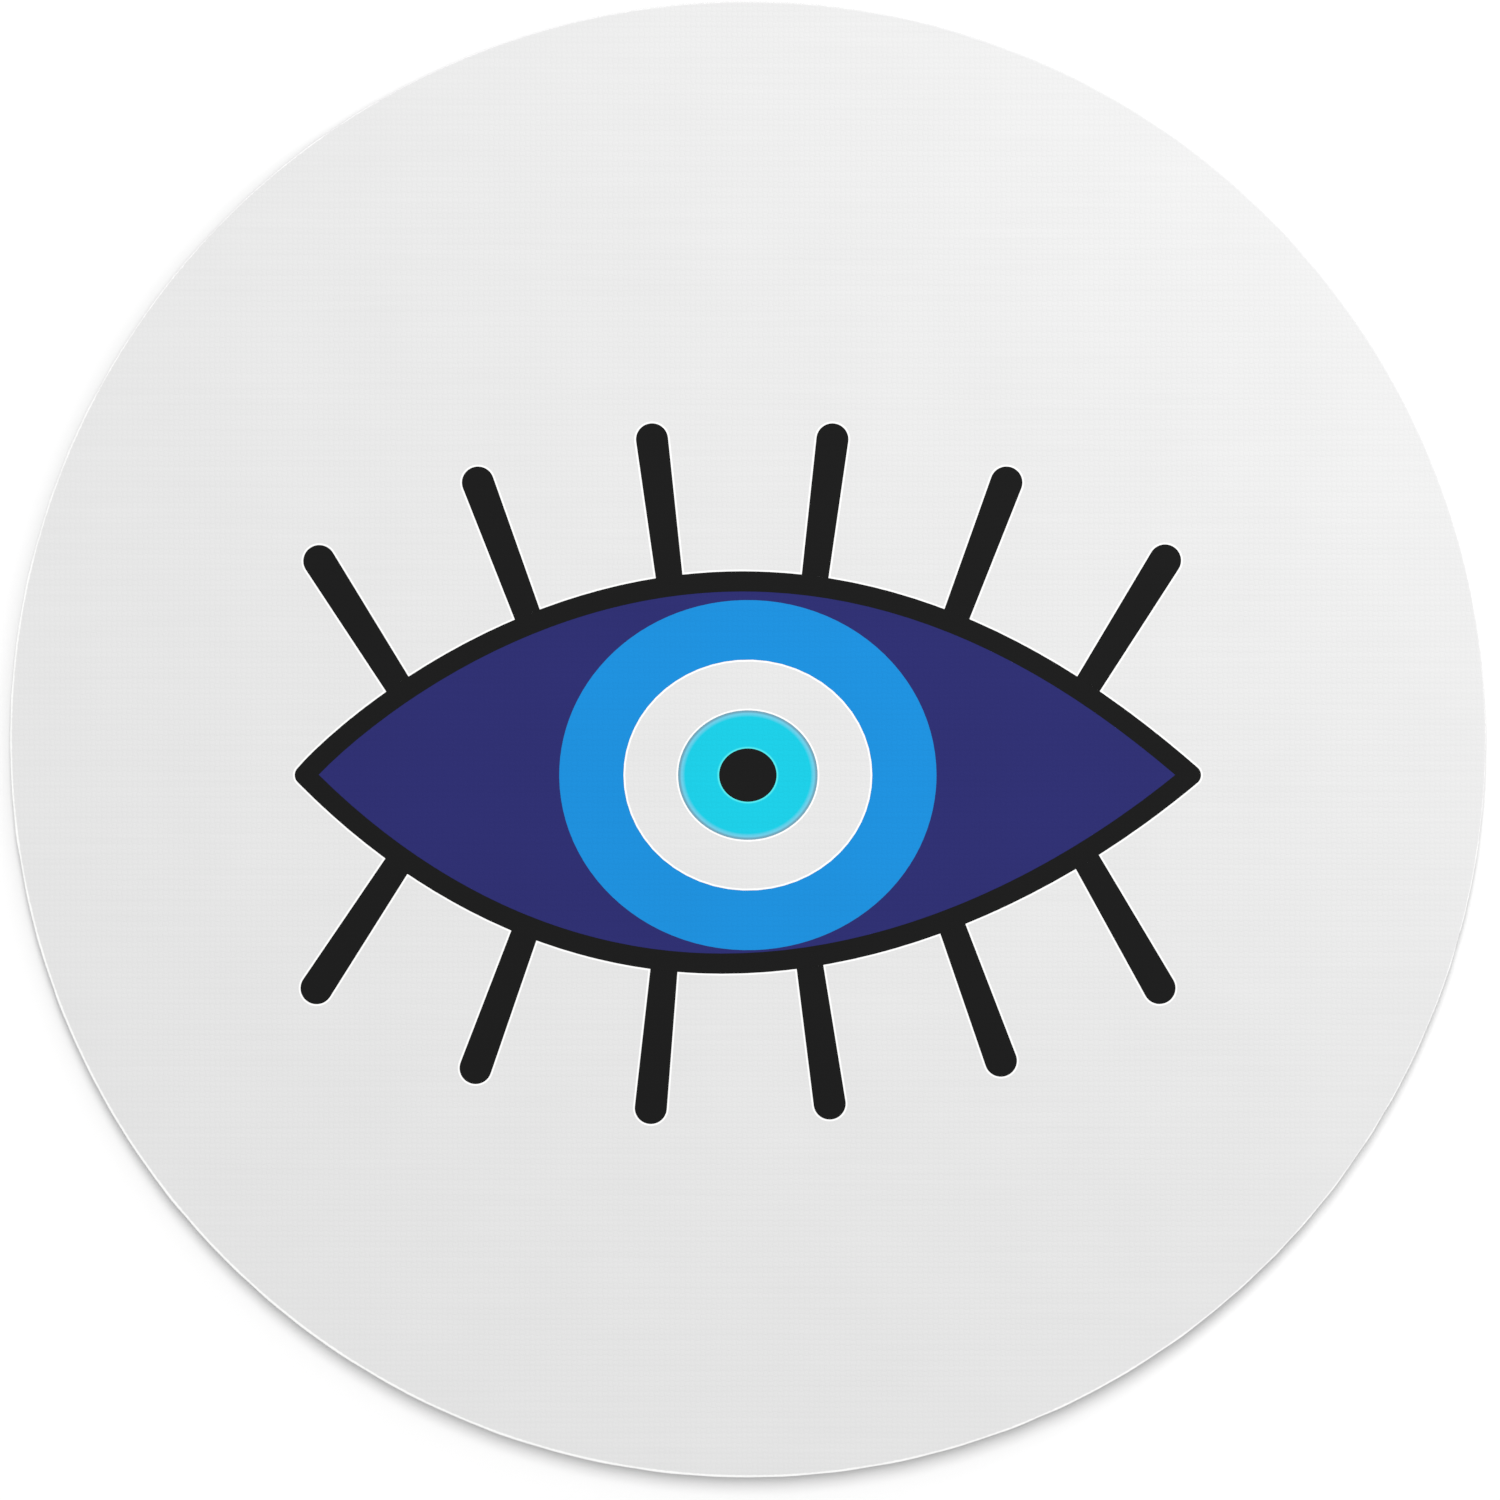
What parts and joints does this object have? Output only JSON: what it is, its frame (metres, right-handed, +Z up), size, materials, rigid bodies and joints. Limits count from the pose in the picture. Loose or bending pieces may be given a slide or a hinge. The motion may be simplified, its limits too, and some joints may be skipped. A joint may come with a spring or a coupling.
{
  "type": "round printed desk pad",
  "caption": "Thin round pad that lies flat on a desk: foam rubber base, bonded film and a white cloth top printed with an eye with lashes.",
  "frame": {"origin": "middle of the underside, on the surface that the pad lies on", "axes": "+Z up through the printed cloth, +Y towards the top of the print, +X to the right of the print"},
  "size_m": [0.2, 0.2, 0.003],
  "materials": {
    "foam_rubber": "matte moulded foam",
    "adhesive": "translucent glue film",
    "white_cloth": "fine brushed weave",
    "black_dye": "dyed weave",
    "navy_dye": "dyed weave",
    "azure_dye": "dyed weave",
    "pale_blue_dye": "dyed weave",
    "cyan_dye": "dyed weave"
  },
  "bodies": {
    "root": {"rubber_base": "foam_rubber", "adhesive_film": "adhesive", "cloth_top": "white_cloth", "eye_outline": "black_dye", "eye_field": "navy_dye", "iris_ring": "azure_dye", "iris_halo": "pale_blue_dye", "iris_disc": "cyan_dye", "pupil": "black_dye", "upper_lash_1": "black_dye", "upper_lash_2": "black_dye", "upper_lash_3": "black_dye", "upper_lash_4": "black_dye", "upper_lash_5": "black_dye", "upper_lash_6": "black_dye", "lower_lash_1": "black_dye", "lower_lash_2": "black_dye", "lower_lash_3": "black_dye", "lower_lash_4": "black_dye", "lower_lash_5": "black_dye", "lower_lash_6": "black_dye"}
  },
  "joints": []
}
